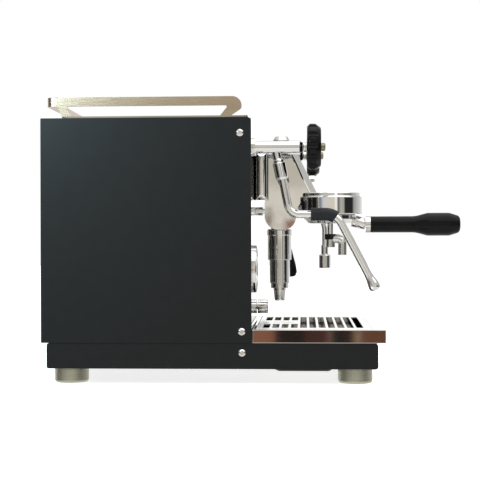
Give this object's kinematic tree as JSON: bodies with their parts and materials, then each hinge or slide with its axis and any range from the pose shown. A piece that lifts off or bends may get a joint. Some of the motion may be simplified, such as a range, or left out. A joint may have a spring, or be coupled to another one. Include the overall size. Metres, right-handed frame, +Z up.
{
  "type": "espresso machine",
  "caption": "Counter-top espresso machine with a lever brew group, portafilter, steam and hot water wands, cup rail and drip tray.",
  "frame": {"origin": "centre of the footprint's bounding box, on the surface that the feet stand on", "axes": "+X towards the user's right, -Y towards the user (the portafilter's handle), +Z up"},
  "size_m": [0.3044, 0.5928, 0.396],
  "materials": {
    "black_sheet": "fine matte black powder coat",
    "black_plastic": "matte moulded",
    "polished_steel": "mirror-polished stainless",
    "zinc_sheet": "satin plated sheet",
    "rail_steel": "fine brushed along the rail",
    "grate_steel": "fine brushed",
    "foot_metal": "satin turned",
    "screw_steel": "bright",
    "tank_plastic": "translucent moulded",
    "copper": "drawn copper",
    "brass": "machined",
    "element_steel": "satin",
    "rubber": "matte",
    "chrome": "polished chrome plate on brass",
    "gloss_black": "gloss moulded",
    "dial_white": "printed scale",
    "clear_glass": "clear"
  },
  "bodies": {
    "machine": {"base_frame": "black_sheet", "feet": "foot_metal", "underside_covers": "black_plastic", "left_side_panel": "black_sheet", "right_side_panel": "black_sheet", "front_panel": "polished_steel", "rear_panel": "zinc_sheet", "panel_screws": "screw_steel", "inner_frame": "zinc_sheet", "water_tank": "tank_plastic", "boiler_shell": "copper", "boiler_flange": "brass", "hex_bolts": "screw_steel", "heating_element": "element_steel", "heat_exchanger": "copper", "boiler_brackets": "zinc_sheet", "boiler_valves": "brass", "thermosyphon_pipes": "chrome", "service_pipes": "copper", "pump": "element_steel", "pump_mounts": "rubber", "expansion_valve": "brass", "fill_solenoid": "black_plastic", "control_box": "black_plastic", "pressurestat": "black_plastic", "mains_inlet": "gloss_black", "group_flange": "chrome", "group_body": "chrome", "group_bell": "chrome", "mushroom_cap": "chrome", "group_gasket": "rubber", "shower_screen": "brass", "valve_chamber": "chrome", "drain_nozzle": "chrome", "left_valve_body": "chrome", "right_valve_body": "chrome", "gauge_case": "chrome", "gauge_dial": "dial_white", "gauge_glass": "clear_glass"},
    "cup_shelf": {"cup_tray": "polished_steel", "cup_rail": "rail_steel"},
    "tray": {"drip_tray": "polished_steel"},
    "grate": {"drip_grate": "grate_steel"},
    "lever": {"brew_lever": "chrome", "lever_grip": "gloss_black"},
    "portafilter": {"portafilter_body": "chrome", "filter_basket": "element_steel", "portafilter_spout": "chrome", "portafilter_handle": "gloss_black"},
    "steam_tap": {"steam_knob": "gloss_black"},
    "water_tap": {"water_knob": "gloss_black"},
    "steam_swivel": {"steam_wand_ball": "chrome"},
    "steam_arm": {"steam_wand": "chrome", "steam_grip": "rubber", "steam_tip": "chrome"},
    "water_swivel": {"water_wand_ball": "chrome"},
    "water_arm": {"water_wand": "chrome", "water_tip": "chrome"},
    "needle": {"gauge_needle": "gloss_black"},
    "switch": {"power_knob": "chrome"}
  },
  "joints": [
    {"name": "cup_shelf_lift", "type": "slide", "parent": "machine", "child": "cup_shelf", "axis": [0, 0, 1], "range_m": [0, 0.06]},
    {"name": "drip_tray_slide", "type": "slide", "parent": "machine", "child": "tray", "axis": [0, -1, 0], "range_m": [0, 0.18]},
    {"name": "drip_grate_lift", "type": "slide", "parent": "tray", "child": "grate", "axis": [0, 0, 1], "range_m": [0, 0.008]},
    {"name": "brew_lever_lift", "type": "hinge", "parent": "machine", "child": "lever", "pos_m": [0.025, -0.03, 0.19], "axis": [-1, 0, 0], "range_deg": [0, 80]},
    {"name": "portafilter_turn", "type": "hinge", "parent": "machine", "child": "portafilter", "pos_m": [0, -0.1053, 0.24], "axis": [0, 0, 1], "range_deg": [-45, 0]},
    {"name": "steam_tap_turn", "type": "hinge", "parent": "machine", "child": "steam_tap", "pos_m": [-0.091, -0.08, 0.3295], "axis": [0, -1, 0], "range_deg": [0, 450]},
    {"name": "water_tap_turn", "type": "hinge", "parent": "machine", "child": "water_tap", "pos_m": [0.091, -0.08, 0.3295], "axis": [0, -1, 0], "range_deg": [0, 450]},
    {"name": "steam_wand_swing", "type": "hinge", "parent": "machine", "child": "steam_swivel", "pos_m": [-0.091, -0.031, 0.3085], "axis": [0, 0, 1], "range_deg": [-60, 10]},
    {"name": "steam_wand_tilt", "type": "hinge", "parent": "steam_swivel", "child": "steam_arm", "pos_m": [-0.091, -0.031, 0.3085], "axis": [-1, 0, 0], "range_deg": [-8, 5]},
    {"name": "water_wand_swing", "type": "hinge", "parent": "machine", "child": "water_swivel", "pos_m": [0.091, -0.031, 0.3085], "axis": [0, 0, 1], "range_deg": [-10, 60]},
    {"name": "water_wand_tilt", "type": "hinge", "parent": "water_swivel", "child": "water_arm", "pos_m": [0.091, -0.031, 0.3085], "axis": [-1, 0, 0], "range_deg": [-8, 5]},
    {"name": "gauge_needle_turn", "type": "hinge", "parent": "machine", "child": "needle", "pos_m": [-0.091, 0.004, 0.1577], "axis": [0, 1, 0], "range_deg": [0, 240]},
    {"name": "power_knob_turn", "type": "hinge", "parent": "machine", "child": "switch", "pos_m": [0.06, 0, 0.096], "axis": [0, 1, 0], "range_deg": [0, 90]}
  ]
}
